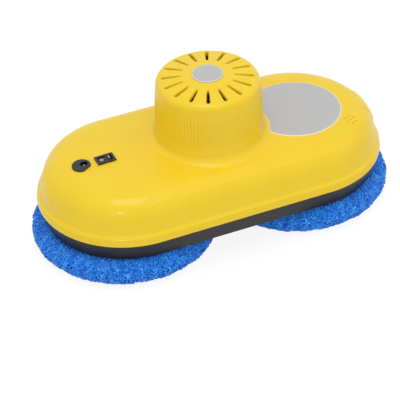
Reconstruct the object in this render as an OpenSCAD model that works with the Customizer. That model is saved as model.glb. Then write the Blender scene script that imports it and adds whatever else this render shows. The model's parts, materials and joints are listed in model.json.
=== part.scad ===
// Window cleaning robot: a crowned oblong cover on a black base, with two pads that spin
// on the glass and a fan under the slotted dome that holds the robot to it.
// Millimetres. The origin is on the glass, below the middle of the dome. X runs along the
// length and Z points away from the glass.

/* [Cover] */
// Length of the cover
cover_len = 295; // [288:1:305]
// Width of the cover
cover_w = 148; // [146:1:154]
// Height of the cover's lower edge above the glass
cover_z = 40.5; // [39.5:0.5:42]
// Height of the crowned top along the middle line
crown_z = 78; // [77:0.5:82]
// Wall thickness of the moulded cover
cover_wall = 2.4; // [2:0.1:2.8]
// Height of the skirt below the step
skirt_h = 6.5; // [5:0.5:8]
// Depth of the step above the skirt
step_d = 3.4; // [2:0.2:4]
// How far the raised pad on each end wall stands out
end_bump = 0.9; // [0.5:0.1:1.4]

/* [Dome] */
// Radius of the dome at its foot
dome_foot_r = 46; // [45:0.5:48]
// Radius of the dome where its top edge starts to round
dome_top_r = 42; // [41:0.5:43]
// Height of the dome's flat middle above the glass
dome_z = 132; // [129:0.5:136]
// Number of ribs round the dome's wall
rib_count = 96; // [48:12:96]
// Number of slots in the dome's top
slot_count = 16; // [12:4:16]
// Radius of the slots' inner ends
slot_in_r = 21; // [20:0.5:23]
// Radius of the slots' outer ends
slot_out_r = 36; // [33:0.5:36]
// Radius of the silver disc
disc_r = 12.7; // [11:0.1:14]

/* [Pads] */
// Radius of a pad
pad_r = 75.8; // [74:0.2:77]
// Height of a pad's pile
pad_h = 23; // [22:0.5:23.5]
// Gap between the two pads
pad_gap = 3.2; // [3:0.2:5]
// Radius of the open middle of a pad
chamber_r = 44; // [42:0.5:46]

/* [Drive] */
// Teeth on each pad's gear
gear_teeth = 56; // [56:4:56]
// Teeth on each motor pinion
pinion_teeth = 14; // [14:2:14]
// Pitch diameter per tooth
tooth_module = 1; // [0.98:0.01:1.02]
// Radius of a pad's shaft
shaft_r = 4; // [3.6:0.1:4.4]

/* [Controls] */
// Length of the switch's bezel
switch_len = 15.4; // [14.6:0.2:16]
// Width of the switch's bezel
switch_w = 10.4; // [10:0.2:11]
// Angle that the rocker turns through
rocker_turn = 20; // [16:1:20]
// Radius of the power socket's bezel
socket_r = 7.6; // [7.4:0.1:8.2]
// Radius of the power socket's bore
plug_r = 3.1; // [2.9:0.1:3.2]

/* [Hidden] */
$fn = 96;

// Overrun of every cut
over = 1;
// Gap between pieces that pass each other
gap = 0.4;
// Radial clearance of a shaft that turns in a bush
run_gap = 0.05;

// Outline of the cover: half circles round the two ends of a spine
half_w = cover_w / 2;
spine = (cover_len - cover_w) / 2;
// The top's crown, as a drop over a reach from the spine
crown_drop = 1.6;
crown_reach_share = 0.632;
crown_reach = crown_reach_share * half_w;
crown_r = (crown_reach * crown_reach + crown_drop * crown_drop) / (2 * crown_drop);
// The wall between the step and the shoulder
step_rise = 2;
step_z = cover_z + skirt_h + step_rise;
wall_foot_r = half_w - step_d;
wall_rise = 9.7;
wall_lean = 2.4;
wall_top_r = wall_foot_r - wall_lean;
wall_top_z = step_z + wall_rise;
skirt_lean = 0.4;
skirt_edge = 1.2;
arc_steps = 8;

// Height of the crown at a distance from the spine
function crown_at(r) = crown_z - crown_r + sqrt(crown_r * crown_r - r * r);
crown_slope = crown_reach / sqrt(crown_r * crown_r - crown_reach * crown_reach);
wall_slope = wall_rise / wall_lean;
// The shoulder's control point: where the crown's tangent meets the line of the wall
shoulder_r = (wall_top_z + wall_slope * wall_top_r - crown_at(crown_reach)
    - crown_slope * crown_reach) / (wall_slope - crown_slope);
shoulder_z = crown_at(crown_reach) - crown_slope * (shoulder_r - crown_reach);
// A point of the curve from a to c that bends towards b
function bend(a, b, c, t) = (1 - t) * (1 - t) * a + 2 * t * (1 - t) * b + t * t * c;
shoulder = [for (i = [1 : arc_steps]) bend([crown_reach, crown_at(crown_reach)],
    [shoulder_r, shoulder_z], [wall_top_r, wall_top_z], i / arc_steps)];
crown_line = [for (i = [0 : arc_steps]) [crown_reach * i / arc_steps,
    crown_at(crown_reach * i / arc_steps)]];
skin = concat(crown_line, shoulder, [[wall_foot_r, step_z],
    [half_w - skirt_lean - skirt_edge, cover_z + skirt_h], [half_w - skirt_lean,
    cover_z + skirt_h - skirt_edge], [half_w, cover_z]]);
// The same line moved inwards by the wall
shoulder_in = [for (i = [1 : arc_steps]) bend([crown_reach, crown_at(crown_reach) - cover_wall],
    [shoulder_r - cover_wall, shoulder_z - cover_wall], [wall_top_r - cover_wall, wall_top_z],
    i / arc_steps)];
skin_in = concat([for (p = crown_line) [p[0], p[1] - cover_wall]], shoulder_in,
    [[wall_foot_r - cover_wall, step_z], [half_w - skirt_lean - cover_wall,
    cover_z + skirt_h - skirt_edge - skirt_edge], [half_w - cover_wall, cover_z]]);
cover_profile = concat(skin, [for (i = [len(skin_in) - 1 : -1 : 0]) skin_in[i]]);

// Ends' raised pads, as half an angle
bump_half = 10;

// Dome: wall, rounded top edge and shallow cone
cap_wall = 2.2;
collar_h = 6;
collar_z = crown_z + collar_h;
flare_foot = 3.4;
edge_r = 5.5;
cone_drop = 5.2;
edge_z = dome_z - cone_drop;
wall_end_z = edge_z - edge_r;
cone_in_r = 14;
rib_out = 0.45;
slot_in_w = 1.9;
slot_out_w = 3.4;
disc_t = 1.3;
disc_rise = 0.5;
disc_edge = 0.5;
disc_sink = 0.4;
// Radius of the dome's wall at a height
function dome_r_at(z) = dome_foot_r + (dome_top_r - dome_foot_r) * (z - crown_z)
    / (wall_end_z - crown_z);

// Label plate: round, cut away by a circle about the dome
label_r = 38.8;
label_x = 75.2;
label_y = -2;
label_cut_r = 49.2;
label_t = 0.8;
label_rise = 0.15;
label_gap = 0.1;

// Beeper holes: one and a ring of six
beeper_x = 111;
beeper_y = -34.2;
hole_ring_r = 4.2;
hole_r = 0.65;
beeper_r = 6;
beeper_h = 9;
beeper_ring = 1.5;

// Power socket, seated square to the crown
socket_x = -111;
socket_y = 0;
socket_t = 1.5;
socket_edge = 0.4;
socket_flat_share = 0.84;
socket_flat_turn = -60;
barrel_r = 6.3;
barrel_len = 15;
bore_shift = 2.3;
plug_depth = 10;
pin_r = 1.05;
pin_len = 8.6;
nut_t = 3;
nut_r = 9.5;

// Rocker switch
switch_x = -91;
switch_y = -1;
bezel_t = 1.4;
bezel_edge = 1.7;
switch_depth = 9;
shell_t = 1;
rocker_pin_r = 0.9;
rocker_drop = 1.2;
rocker_slant = 10;

// Base plate
rim_h = 15.5;
rim_inset = 5;
rim_wall = 2.4;
rim_lip = 0.9;
floor_t = 3;
base_z = cover_z - rim_h;
floor_z = base_z + floor_t;
port_r = 5.5;
port_from_wheel = 37.4;
port_count = 8;

// Wheels: pad, ring, disc, shaft and gear on one axis
wheel_x = pad_r + pad_gap / 2;
pad_swell = 15.7;
pad_mid_r = pad_r - pad_swell;
pad_steps = 10;
hem_r = 59;
hem_t = 3.5;
disc_plate_r = 66;
disc_plate_t = 3;
disc_plate_z = 15;
ring_in_r = 46;
ring_h = 8;
hub_r = 12;
hub_top_gap = 0.5;
bush_r = 7;
bush_len = 7;
bush_flange_r = 9;
bush_flange_t = 1;
shaft_flat_share = 0.7;
seal_in_r = 48;
seal_w = 3;
gear_lift = 6;
gear_z = floor_z + gear_lift;
gear_t = 6;
gear_hub_r = 9;
gear_web = 2;
gear_hub_h = 2;
gear_hub_z = gear_z + gear_t + gear_hub_h;
backlash_share = 0.12;
tip_share = 0.5;
root_share = 1.3;
addendum = tooth_module;
dedendum = 1.25 * tooth_module;
gear_pitch_r = gear_teeth * tooth_module / 2;
pinion_pitch_r = pinion_teeth * tooth_module / 2;
drive_gap = gear_pitch_r + pinion_pitch_r;
plate_lift = 2;
plate_z = gear_hub_z + gap + bush_flange_t + plate_lift;
plate_t = 2.5;
plate_r = 33;
post_from_wheel = 35.5;
post_r = 3;
post_turns = [-45, 180, 225];
motor_r = 14;
motor_h = 22;
gearbox_share = 0.4;
motor_post_r = 2;
motor_plate_r = 16;
web_half = 14.5;
screw_r = 1.2;
screw_head_r = 2.4;
screw_head_t = 1.6;
screw_len = 9;

// Cover screws: bosses along the wall
boss_r = 4;
boss_from_edge = 11.5;
boss_x = 56;
boss_turn = 40;
boss_seat = 3;
boss_web_t = 2;
boss_web_h = 5;
boss_web_drop = 0.7;
cover_screw_r = 1.5;
cover_head_r = 3.1;
cover_head_t = 2.2;
cover_screw_len = 15;
boss_top_z = wall_top_z - boss_seat;

// Fan on the dome's axis
duct_half = 46.4;
duct_w = 30;
duct_wall = 1.5;
duct_h = 16;
inlet_r = 14;
housing_r = 38;
housing_wall = 2;
housing_floor = 2;
housing_z = floor_z + duct_h;
housing_rise = 4;
housing_top = crown_z + housing_rise;
impeller_r = 34;
impeller_gap = 2;
impeller_z = housing_z + housing_floor + impeller_gap;
blade_h = 12;
blade_t = 1.2;
blade_count = 9;
blade_sweep = 50;
back_t = 1.5;
fan_hub_r = 7;
fan_shaft_r = 1.6;
motor_can_r = 17;
motor_can_h = 34;
can_gap = 3;
can_z = impeller_z + blade_h + back_t + can_gap;
bracket_t = 3;
bracket_ring = 4;
arm_w = 7;
arm_count = 3;

// Electronics and battery
board_len = 100;
board_w = 22;
board_t = 1.6;
board_y = -51;
board_gap = 3;
stud_r = 2.5;
cell_r = 7.1;
cell_len = 50;
battery_y = 51;
holder_t = 1.6;
cell_gap = 0.2;

// Mirrored outline of a profile whose first and last points lie on the middle line
function both_sides(p) = concat([for (q = p) q], [for (i = [len(p) - 1 : -1 : 0]) [-p[i][0], p[i][1]]]);

// Carries a profile, given as distance from the spine and height, once round the cover
module oblong(profile, reach = spine) {
    for (side = [-1, 1])
        translate([side * reach, 0, 0]) rotate(side > 0 ? -90 : 90)
            rotate_extrude(angle = 180) polygon(profile);
    rotate([90, 0, 90]) translate([0, 0, -reach]) linear_extrude(2 * reach)
        polygon(both_sides(profile));
}

// Everything above the cover's skin, moved by a step, for seating a plate in the top
module above_skin(step) {
    top = crown_z + edge_r;
    oblong(concat([for (p = crown_line) [p[0], p[1] + step]], [[crown_reach + edge_r,
        crown_at(crown_reach) + step - crown_slope * edge_r],
        [crown_reach + edge_r, top], [0, top]]));
}

module label_outline(grow) {
    difference() {
        translate([label_x, label_y]) circle(r = label_r + grow);
        circle(r = label_cut_r - grow);
    }
}

// Places children on the crown at a point of the left end, square to the skin
module on_crown(x, y) {
    reach = max(abs(x) - spine, 0);
    tilt = asin(reach / crown_r);
    translate([x, y, crown_at(reach)]) rotate([0, x < 0 ? -tilt : tilt, 0]) children();
}

module boss_places() {
    for (sx = [-1, 1]) for (sy = [-1, 1]) {
        r = half_w - boss_from_edge;
        translate([sx * boss_x, sy * r, 0]) rotate(90 * sy) children();
        translate([sx * (spine + r * cos(boss_turn)), sy * r * sin(boss_turn), 0])
            rotate(atan2(sy * sin(boss_turn), sx * cos(boss_turn))) children();
    }
}

// Web that ties a screw boss to the wall beside it
module boss_web() {
    reach = (wall_foot_r + wall_top_r - cover_wall) / 2 - half_w + boss_from_edge;
    translate([boss_r / 2, -boss_web_t / 2, boss_top_z - boss_web_drop - boss_web_h])
        cube([reach - boss_r / 2, boss_web_t, boss_web_h]);
}

// Foot of the dome: a collar that flares into the crown
collar_foot_z = crown_at(dome_foot_r + flare_foot) - cover_wall;
collar_line = [for (i = [0 : arc_steps]) bend([dome_r_at(collar_z), collar_z],
    [dome_r_at(crown_z), crown_z - crown_drop / 2], [dome_foot_r + flare_foot,
    crown_z - crown_drop], i / arc_steps)];

module top_cover() {
    color("gold") difference() {
        union() {
            difference() {
                oblong(cover_profile);
                cylinder(r = dome_foot_r, h = crown_z + over);
            }
            rotate_extrude() polygon(concat([[dome_r_at(collar_z) - cap_wall, collar_z]],
                collar_line, [[dome_foot_r + flare_foot, collar_foot_z],
                [dome_r_at(collar_z) - cap_wall, collar_foot_z]]));
            end_bumps();
            boss_places() translate([0, 0, floor_z + boss_seat])
                cylinder(r = boss_r, h = boss_top_z - floor_z - boss_seat, $fn = 32);
            boss_places() boss_web();
            beeper_holder();
        }
        boss_places() translate([0, 0, floor_z])
            cylinder(r = cover_screw_r, h = cover_screw_len, $fn = 24);
        intersection() {
            above_skin(-label_t + label_rise);
            linear_extrude(crown_z + edge_r) label_outline(label_gap);
        }
        on_crown(socket_x, socket_y) translate([0, 0, -barrel_len])
            cylinder(r = barrel_r + label_gap, h = 2 * barrel_len);
        on_crown(switch_x, switch_y) cube([switch_hole_len, switch_hole_w, 2 * switch_depth],
            center = true);
        translate([beeper_x, beeper_y, 0]) {
            cylinder(r = hole_r, h = crown_z + over, $fn = 16);
            for (i = [0 : 5]) rotate(60 * i + 30) translate([hole_ring_r, 0, 0])
                cylinder(r = hole_r, h = crown_z + over, $fn = 16);
        }
    }
}

// Raised pad on each end wall, with the wall's own profile
module end_bumps() {
    foot_z = step_z + step_rise;
    foot_r = wall_foot_r - step_rise / wall_slope;
    outer = concat([for (p = shoulder) [p[0] + end_bump, p[1]]],
        [[foot_r + end_bump, foot_z + end_bump], [foot_r - end_bump, foot_z]]);
    inner = [[wall_top_r - cover_wall / 2, wall_top_z],
        [crown_reach, crown_at(crown_reach) - cover_wall / 2]];
    for (side = [-1, 1]) translate([side * spine, 0, 0]) rotate(side > 0 ? -bump_half
        : 180 - bump_half) rotate_extrude(angle = 2 * bump_half) polygon(concat(outer, inner));
}

// Ring under the skin that the beeper is pressed into, cut to the skin's inside
module beeper_holder() {
    intersection() {
        translate([beeper_x, beeper_y, beeper_top_z - beeper_h]) difference() {
            cylinder(r = beeper_r + beeper_ring, h = crown_z - beeper_top_z + beeper_h, $fn = 48);
            translate([0, 0, -over]) cylinder(r = beeper_r, h = crown_z, $fn = 48);
        }
        translate([spine, 0, cover_wall / 2]) rotate(-90) rotate_extrude(angle = 180)
            polygon(concat(skin_in, [[0, cover_z]]));
    }
}
beeper_sink = 3.6;
beeper_top_z = crown_at(crown_reach) - cover_wall - beeper_sink;

// Ribbed dome with its slotted top
dome_edge = [for (i = [0 : arc_steps]) [dome_top_r - edge_r + edge_r * cos(90 * i / arc_steps),
    wall_end_z + edge_r * sin(90 * i / arc_steps)]];
function cone_z(r) = edge_z + (dome_z - edge_z) * (dome_top_r - edge_r - r)
    / (dome_top_r - edge_r - cone_in_r);
dome_skin = concat([[dome_r_at(collar_z), collar_z]], dome_edge, [[cone_in_r, dome_z],
    [0, dome_z]]);
dome_inside = concat([[0, dome_z - cap_wall], [cone_in_r, dome_z - cap_wall],
    [dome_top_r - edge_r, edge_z - cap_wall], [dome_top_r - cap_wall, wall_end_z],
    [dome_r_at(collar_z) - cap_wall, collar_z]]);

// Ribs as the spokes of a star, trimmed to stand a little out of the wall
rib_root_r = dome_top_r - cap_wall / 2;
rib_share = 0.42;
rib_star = [for (i = [0 : rib_count - 1], k = [0 : 3])
    let(r = k == 1 || k == 2 ? dome_foot_r + rib_out + over : rib_root_r,
        a = 360 / rib_count * (i + (k < 2 ? -rib_share : rib_share) / 2))
    [r * cos(a), r * sin(a)]];

module slot_shape() {
    a = slot_in_w / 2;
    b = slot_out_w / 2;
    polygon(concat([for (i = [0 : 6]) [slot_in_r + a - a * sin(30 * i), a * cos(30 * i)]],
        [for (i = [0 : 6]) [slot_out_r - b + b * sin(30 * i), -b * cos(30 * i)]]));
}

module dome_cap() {
    color("gold") difference() {
        union() {
            rotate_extrude() polygon(concat(dome_skin, dome_inside));
            intersection() {
                translate([0, 0, collar_z]) linear_extrude(wall_end_z - collar_z)
                    polygon(rib_star);
                rotate_extrude() polygon([[rib_root_r, collar_z], [dome_r_at(collar_z) + rib_out,
                    collar_z], [dome_top_r + rib_out, wall_end_z], [rib_root_r, wall_end_z]]);
            }
        }
        for (i = [0 : slot_count - 1]) rotate(360 * i / slot_count)
            translate([0, 0, wall_end_z]) linear_extrude(dome_z - wall_end_z + over) slot_shape();
        translate([0, 0, dome_z - disc_sink]) cylinder(r = disc_r + label_gap, h = over);
    }
}

module dome_disc() {
    color("silver") translate([0, 0, dome_z - disc_sink]) rotate_extrude() polygon([[0, 0],
        [disc_r, 0], [disc_r, disc_t - disc_edge], [disc_r - disc_edge, disc_t],
        [disc_r / 2, disc_t + disc_rise / 2], [0, disc_t + disc_rise / 2]]);
}

module label_plate() {
    color("silver") intersection() {
        difference() {
            above_skin(-label_t + label_rise);
            above_skin(label_rise);
        }
        linear_extrude(crown_z + edge_r) label_outline(0);
    }
}

// Power socket: bezel with a flat, barrel with an offset bore
module dc_socket() {
    color([0.12, 0.12, 0.13]) on_crown(socket_x, socket_y) difference() {
        union() {
            intersection() {
                rotate_extrude() polygon([[0, 0], [socket_r, 0], [socket_r,
                    socket_t - socket_edge], [socket_r - socket_edge, socket_t], [0, socket_t]]);
                rotate(socket_flat_turn) translate([-2 * socket_r + socket_flat_share * socket_r,
                    -socket_r, -over]) cube([2 * socket_r, 2 * socket_r, socket_t + 2 * over]);
            }
            translate([0, 0, -barrel_len]) cylinder(r = barrel_r, h = barrel_len + socket_t / 2);
        }
        translate([bore_shift, 0, socket_t - plug_depth]) cylinder(r = plug_r,
            h = plug_depth + over);
    }
}

module socket_pin() {
    color("silver") on_crown(socket_x, socket_y)
        translate([bore_shift, 0, socket_t - plug_depth]) cylinder(r = pin_r, h = pin_len,
            $fn = 32);
}

module socket_nut() {
    color([0.2, 0.2, 0.21]) on_crown(socket_x, socket_y)
        translate([0, 0, -cover_wall - nut_t - gap]) difference() {
            cylinder(r = nut_r, h = nut_t, $fn = 6);
            translate([0, 0, -over]) cylinder(r = barrel_r, h = nut_t + 2 * over);
        }
}

// Rocker switch: bezel and open shell, rocker on two pivot pins
switch_hole_len = switch_len - 2 * bezel_edge / 2;
switch_hole_w = switch_w - 2 * bezel_edge / 2;
mouth_len = switch_hole_len - 2 * shell_t;
mouth_w = switch_hole_w - 2 * shell_t;
rocker_r = mouth_len / 2 - gap / 2;
rocker_w = mouth_w - gap;

module switch_frame() {
    color([0.1, 0.1, 0.11]) on_crown(switch_x, switch_y) difference() {
        union() {
            translate([-switch_len / 2, -switch_w / 2, 0]) cube([switch_len, switch_w, bezel_t]);
            translate([-switch_hole_len / 2, -switch_hole_w / 2, -switch_depth])
                cube([switch_hole_len, switch_hole_w, switch_depth]);
        }
        translate([-mouth_len / 2, -mouth_w / 2, -switch_depth + shell_t])
            cube([mouth_len, mouth_w, switch_depth + bezel_t + over]);
        translate([0, 0, -rocker_drop]) rotate([90, 0, 0])
            cylinder(r = rocker_pin_r + run_gap, h = switch_hole_w + over, center = true, $fn = 32);
    }
}

module switch_rocker() {
    bow = rocker_turn / 2;
    color([0.1, 0.1, 0.11]) on_crown(switch_x, switch_y) translate([0, 0, -rocker_drop])
        rotate([90, -bow, 0]) {
            intersection() {
                cylinder(r = rocker_r, h = rocker_w, center = true);
                linear_extrude(rocker_w, center = true) polygon([[-rocker_r, -rocker_r / 2],
                    [rocker_r, -rocker_r / 2], [rocker_r, rocker_top(1)], [0, rocker_top(0)],
                    [-rocker_r, rocker_top(1)]]);
            }
            cylinder(r = rocker_pin_r, h = switch_hole_w - shell_t, center = true, $fn = 32);
        }
}
function rocker_top(end) = rocker_drop + bezel_t / 2 + end * rocker_r * tan(rocker_slant);

// Base plate: floor with bushes, ports and posts, and the rim that shows below the cover
module base_plate() {
    low_r = half_w - rim_inset;
    top_r = half_w - rim_lip;
    color([0.1, 0.1, 0.11]) difference() {
        union() {
            oblong([[0, base_z], [low_r, base_z], [top_r, cover_z], [top_r - rim_wall, cover_z],
                [low_r - rim_wall, floor_z], [0, floor_z]]);
            for (side = [-1, 1]) translate([side * wheel_x, 0, 0]) {
                translate([0, 0, bush_z]) cylinder(r = bush_r + rim_wall, h = bush_len);
                for (turn = post_turns) rotate(turn + (side > 0 ? 180 : 0))
                    translate([post_from_wheel, 0, floor_z - floor_t / 2])
                        cylinder(r = post_r, h = plate_z - floor_z + floor_t / 2, $fn = 32);
            }
            boss_places() translate([0, 0, floor_z]) cylinder(r = boss_r, h = boss_seat,
                $fn = 32);
            for (sx = [-1, 1]) for (sy = [-1, 1])
                translate([sx * (board_len / 2 - 2 * stud_r), board_y + sy * (board_w / 2
                    - 1.5 * stud_r), floor_z]) cylinder(r = stud_r, h = board_gap, $fn = 24);
        }
        for (side = [-1, 1]) translate([side * wheel_x, 0, 0]) {
            translate([0, 0, bush_z - over]) cylinder(r = bush_r, h = bush_len + 2 * over);
            translate([-side * port_from_wheel, 0, base_z - over])
                cylinder(r = port_r, h = floor_t + 2 * over);
            for (turn = post_turns) rotate(turn + (side > 0 ? 180 : 0))
                translate([post_from_wheel, 0, plate_z + plate_t - screw_len])
                    cylinder(r = screw_r, h = screw_len, $fn = 24);
        }
        boss_places() {
            translate([0, 0, base_z - over]) cylinder(r = cover_head_r + gap / 2,
                h = floor_t + over, $fn = 32);
            translate([0, 0, floor_z - over]) cylinder(r = cover_screw_r + gap / 2,
                h = boss_seat + 2 * over, $fn = 24);
        }
    }
}
bush_drop = 1;
bush_z = base_z - bush_drop;

module cover_screws() {
    color("dimgray") boss_places() translate([0, 0, floor_z]) {
        translate([0, 0, -cover_head_t]) cylinder(r = cover_head_r, h = cover_head_t, $fn = 32);
        cylinder(r = cover_screw_r, h = cover_screw_len, $fn = 24);
    }
}

// Shaft end with a flat, for a shaft or for the bore that takes it
module flatted(r, h) {
    difference() {
        cylinder(r = r, h = h);
        translate([shaft_flat_share * r, -r, -over]) cube([r, 2 * r, h + 2 * over]);
    }
}

// Outline of a spur gear with straight-sided teeth
function gear_outline(teeth, turn) = let(rp = teeth * tooth_module / 2,
    wp = 90 / teeth * (1 - backlash_share)) [for (i = [0 : teeth - 1], k = [0 : 5])
    let(a = 360 * i / teeth + turn, sgn = k < 3 ? -1 : 1, j = k < 3 ? k : 5 - k,
        r = j == 0 ? rp - dedendum : j == 1 ? rp : rp + addendum,
        w = j == 0 ? root_share * wp : j == 1 ? wp : tip_share * wp)
    [r * cos(a + sgn * w), r * sin(a + sgn * w)]];

module wheel_gear(side) {
    translate([side * wheel_x, 0, 0]) difference() {
        union() {
            translate([0, 0, gear_z]) linear_extrude(gear_t) polygon(gear_outline(gear_teeth, 0));
            translate([0, 0, gear_z]) cylinder(r = gear_hub_r, h = gear_hub_z - gear_z);
        }
        translate([0, 0, gear_z + gear_t - gear_web]) difference() {
            cylinder(r = gear_pitch_r - 2 * dedendum - rim_wall, h = gear_web + over);
            translate([0, 0, -over]) cylinder(r = gear_hub_r, h = gear_web + 3 * over);
        }
        translate([0, 0, gear_z - over]) flatted(shaft_r, gear_hub_z - gear_z + 2 * over);
    }
}

module pinion(side) {
    translate([side * wheel_x, -side * drive_gap, 0]) {
        difference() {
            translate([0, 0, gear_z]) linear_extrude(gear_t + addendum)
                polygon(gear_outline(pinion_teeth, side * 90 + 180 / pinion_teeth));
        }
        translate([0, 0, gear_z]) cylinder(r = motor_post_r, h = plate_z + plate_t + motor_h / 2
            - gear_z, $fn = 48);
    }
}

module wheel_shaft(side) {
    low = disc_plate_z;
    top = plate_z + plate_t + bush_flange_t;
    translate([side * wheel_x, 0, 0]) difference() {
        union() {
            translate([0, 0, low]) flatted(shaft_r, bush_z - gap - low);
            translate([0, 0, bush_z - gap]) cylinder(r = shaft_r, h = gear_z - bush_z + gap);
            translate([0, 0, gear_z]) flatted(shaft_r, gear_hub_z - gear_z);
            translate([0, 0, gear_hub_z]) cylinder(r = shaft_r, h = top - gear_hub_z);
        }
        translate([0, 0, low - over]) cylinder(r = screw_r, h = screw_len + over, $fn = 24);
    }
}

module bush(side, z, flange_down) {
    translate([side * wheel_x, 0, z]) difference() {
        union() {
            cylinder(r = bush_r, h = flange_down ? plate_t : bush_len);
            translate([0, 0, flange_down ? -bush_flange_t : bush_len]) cylinder(r = bush_flange_r,
                h = bush_flange_t);
        }
        translate([0, 0, -2 * over]) cylinder(r = shaft_r + run_gap, h = bush_len + 4 * over);
    }
}

// Disc that carries the pad: rim, hub, air ports and stiffening ribs
module wheel_disc(side) {
    hub_top = bush_z - hub_top_gap;
    translate([side * wheel_x, 0, 0]) difference() {
        union() {
            translate([0, 0, disc_plate_z]) cylinder(r = disc_plate_r, h = disc_plate_t);
            translate([0, 0, disc_plate_z]) cylinder(r = hub_r, h = hub_top - disc_plate_z);
        }
        translate([0, 0, disc_plate_z - over]) flatted(shaft_r, hub_top - disc_plate_z + 2 * over);
        for (i = [0 : port_count - 1]) rotate(360 * i / port_count)
            translate([port_from_wheel, 0, disc_plate_z - over])
                cylinder(r = port_r, h = disc_plate_t + 2 * over, $fn = 48);
    }
}

module pad_ring(side) {
    translate([side * wheel_x, 0, disc_plate_z - ring_h]) difference() {
        cylinder(r = disc_plate_r, h = ring_h);
        translate([0, 0, -over]) cylinder(r = ring_in_r, h = ring_h + 2 * over);
    }
}

// Pad: a swollen ring of pile that wraps the pad ring and hems over the disc
pad_mid_z = pad_h / 2;
pad_line = [for (i = [0 : pad_steps]) let(t = -90 + 180 * i / pad_steps)
    [pad_mid_r + pad_swell * cos(t), pad_mid_z + pad_mid_z * sin(t)]];
hem_z = disc_plate_z + disc_plate_t;
pad_profile = concat([[chamber_r, 0]], pad_line, [[hem_r, pad_h - hem_t / 3], [hem_r, hem_z],
    [disc_plate_r, hem_z], [disc_plate_r, disc_plate_z - ring_h], [chamber_r,
    disc_plate_z - ring_h]]);

module pad(side) {
    translate([side * wheel_x, 0, 0]) rotate_extrude($fn = 120) polygon(pad_profile);
}

module disc_screw(side) {
    translate([side * wheel_x, 0, disc_plate_z]) {
        translate([0, 0, -screw_head_t]) cylinder(r = shaft_r + screw_head_r, h = screw_head_t,
            $fn = 48);
        cylinder(r = screw_r, h = screw_len, $fn = 24);
    }
}

module seal(side) {
    translate([side * wheel_x, 0, hem_z + gap]) difference() {
        cylinder(r = seal_in_r + seal_w, h = base_z - hem_z - gap);
        translate([0, 0, -over]) cylinder(r = seal_in_r, h = base_z - hem_z + 2 * over);
    }
}

// Gear cover: plate on three posts, with the motor's seat beside the wheel's bush
module gear_cover(side) {
    translate([side * wheel_x, 0, plate_z]) linear_extrude(plate_t) difference() {
        union() {
            circle(r = plate_r);
            translate([0, -side * drive_gap]) circle(r = motor_plate_r);
            translate([-web_half, side > 0 ? -drive_gap : 0]) square([2 * web_half, drive_gap]);
            for (turn = post_turns) rotate(turn + (side > 0 ? 180 : 0))
                translate([post_from_wheel, 0]) circle(r = 2 * post_r, $fn = 32);
        }
        circle(r = bush_r);
        translate([0, -side * drive_gap]) circle(r = motor_post_r + gap);
        for (turn = post_turns) rotate(turn + (side > 0 ? 180 : 0))
            translate([post_from_wheel, 0]) circle(r = screw_r, $fn = 24);
    }
}

module gear_cover_screws() {
    color("dimgray") for (side = [-1, 1]) translate([side * wheel_x, 0, plate_z + plate_t])
        for (turn = post_turns) rotate(turn + (side > 0 ? 180 : 0))
            translate([post_from_wheel, 0, 0]) {
                cylinder(r = screw_head_r, h = screw_head_t, $fn = 32);
                translate([0, 0, -screw_len]) cylinder(r = screw_r, h = screw_len, $fn = 24);
            }
}

module gear_motor(side) {
    translate([side * wheel_x, -side * drive_gap, plate_z + plate_t]) difference() {
        union() {
            cylinder(r = motor_r, h = gearbox_share * motor_h);
            cylinder(r = motor_r - shell_t, h = motor_h);
        }
        translate([0, 0, -over]) cylinder(r = motor_post_r + run_gap, h = motor_h / 2 + 2 * over,
            $fn = 48);
    }
}

// Fan: duct from the two ports, housing, impeller, motor and its bracket
module air_duct() {
    color([0.25, 0.25, 0.27]) difference() {
        translate([-duct_half, -duct_w / 2, floor_z]) cube([2 * duct_half, duct_w, duct_h]);
        translate([-duct_half + duct_wall, -duct_w / 2 + duct_wall, floor_z - over])
            cube([2 * (duct_half - duct_wall), duct_w - 2 * duct_wall, duct_h - duct_wall + over]);
        translate([0, 0, floor_z]) cylinder(r = inlet_r - duct_wall, h = duct_h + over);
    }
}

module fan_housing() {
    color([0.25, 0.25, 0.27]) difference() {
        translate([0, 0, housing_z]) cylinder(r = housing_r, h = housing_top - housing_z);
        translate([0, 0, housing_z + housing_floor]) cylinder(r = housing_r - housing_wall,
            h = housing_top - housing_z);
        translate([0, 0, housing_z - over]) cylinder(r = inlet_r, h = housing_floor + 2 * over);
    }
}

module impeller() {
    color([0.16, 0.16, 0.17]) translate([0, 0, impeller_z]) difference() {
        union() {
            translate([0, 0, blade_h]) cylinder(r = impeller_r, h = back_t);
            cylinder(r = fan_hub_r, h = blade_h + back_t);
            for (i = [0 : blade_count - 1]) rotate(360 * i / blade_count)
                linear_extrude(blade_h + back_t / 2) polygon(blade_outline);
        }
        translate([0, 0, -over]) cylinder(r = fan_shaft_r, h = blade_h + back_t + 2 * over,
            $fn = 48);
    }
}
blade_root_share = 0.8;
blade_root_r = blade_root_share * fan_hub_r;
function blade_point(t, off) = let(r = blade_root_r + (impeller_r - shell_t - blade_root_r) * t,
    a = blade_sweep * t) [r * cos(a) - off * sin(a), r * sin(a) + off * cos(a)];
blade_outline = concat([for (i = [0 : arc_steps]) blade_point(i / arc_steps, -blade_t / 2)],
    [for (i = [arc_steps : -1 : 0]) blade_point(i / arc_steps, blade_t / 2)]);

module fan_shaft() {
    color("silver") translate([0, 0, impeller_z]) cylinder(r = fan_shaft_r,
        h = can_z + motor_can_h / 2 - impeller_z, $fn = 48);
}

module fan_motor() {
    color("gray") difference() {
        union() {
            translate([0, 0, can_z]) cylinder(r = motor_can_r, h = motor_can_h);
            translate([0, 0, can_z + motor_can_h]) cylinder(r = fan_hub_r, h = back_t);
        }
        translate([0, 0, can_z - over]) cylinder(r = fan_shaft_r + run_gap,
            h = motor_can_h / 2 + 2 * over, $fn = 48);
    }
}

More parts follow.
